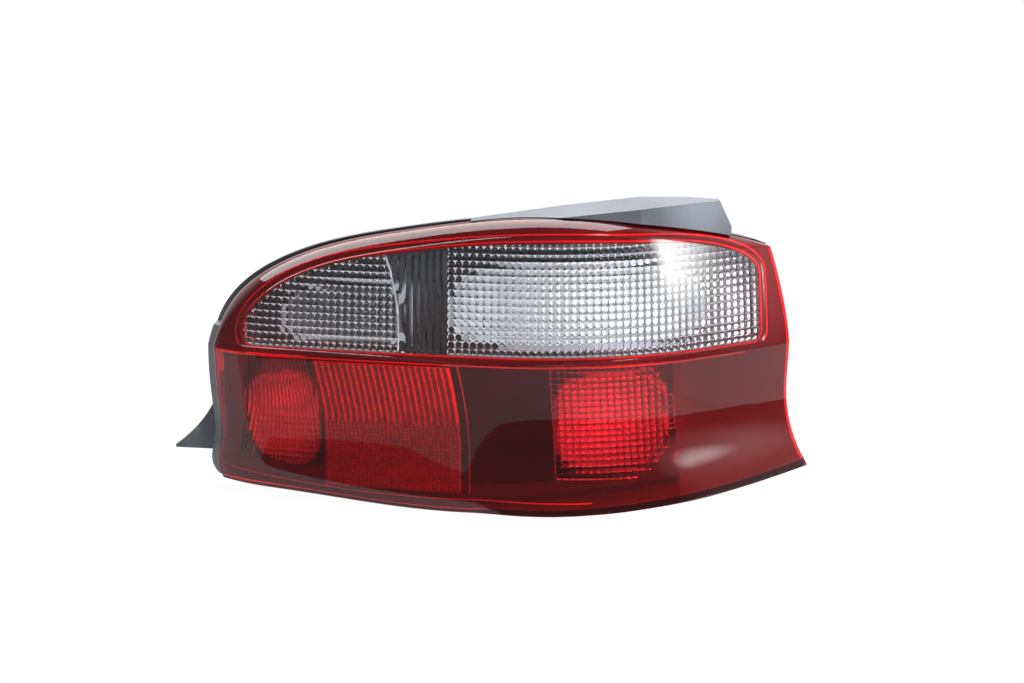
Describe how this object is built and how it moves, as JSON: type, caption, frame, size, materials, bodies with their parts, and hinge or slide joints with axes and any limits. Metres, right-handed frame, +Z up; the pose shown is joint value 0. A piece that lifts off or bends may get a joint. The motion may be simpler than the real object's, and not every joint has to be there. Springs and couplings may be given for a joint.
{
  "type": "car tail light cluster",
  "caption": "Car tail light cluster: wrap-round red lens with a smoked clear upper window, grey housing, reflectors, bulbs on a carrier, fixing studs and a locating tongue.",
  "frame": {"origin": "midway between the two fixing studs, on the rear face of the body gasket", "axes": "+X inboard along the stud line, +Y into the car along the studs, +Z up; the lens looks to -Y"},
  "size_m": [0.3902, 0.1622, 0.1808],
  "materials": {
    "red_lens_moulding": "injection-moulded red acrylic, polished tool",
    "smoked_lens_moulding": "injection-moulded smoked clear acrylic, polished tool",
    "reflex_moulding": "red acrylic moulded with corner prisms",
    "housing_moulding": "injection-moulded slate-grey plastic, fine grain",
    "gasket_foam": "die-cut closed-cell foam rubber",
    "lens_sealant": "poured sealing bead",
    "reflector_coating": "metallised or silver-lacquered moulded plastic",
    "carrier_moulding": "injection-moulded off-white plastic",
    "clear_bulb_glass": "blown glass",
    "coated_bulb_glass": "blown amber glass with a thin silver coat",
    "bulb_cap_plating": "pressed and nickel-plated brass",
    "track_brass": "pressed brass strip",
    "stud_plating": "zinc-plated steel"
  },
  "bodies": {
    "root": {"red_lens": "red_lens_moulding", "clear_lens": "smoked_lens_moulding", "reflex_reflector": "reflex_moulding", "lens_seal": "lens_sealant", "housing": "housing_moulding", "body_gasket": "gasket_foam", "bulb_carrier": "carrier_moulding", "carrier_seal": "gasket_foam", "outboard_stud": "stud_plating", "inboard_stud": "stud_plating", "indicator_reflector": "reflector_coating", "indicator_bulb_glass": "coated_bulb_glass", "indicator_bulb_cap": "bulb_cap_plating", "indicator_track": "track_brass", "reverse_reflector": "reflector_coating", "reverse_bulb_glass": "clear_bulb_glass", "reverse_bulb_cap": "bulb_cap_plating", "reverse_track": "track_brass", "stop_reflector": "reflector_coating", "stop_bulb_glass": "clear_bulb_glass", "stop_bulb_cap": "bulb_cap_plating", "stop_track": "track_brass", "tail_reflector": "reflector_coating", "tail_bulb_glass": "clear_bulb_glass", "tail_bulb_cap": "bulb_cap_plating", "tail_track": "track_brass", "earth_track": "track_brass"}
  },
  "joints": []
}
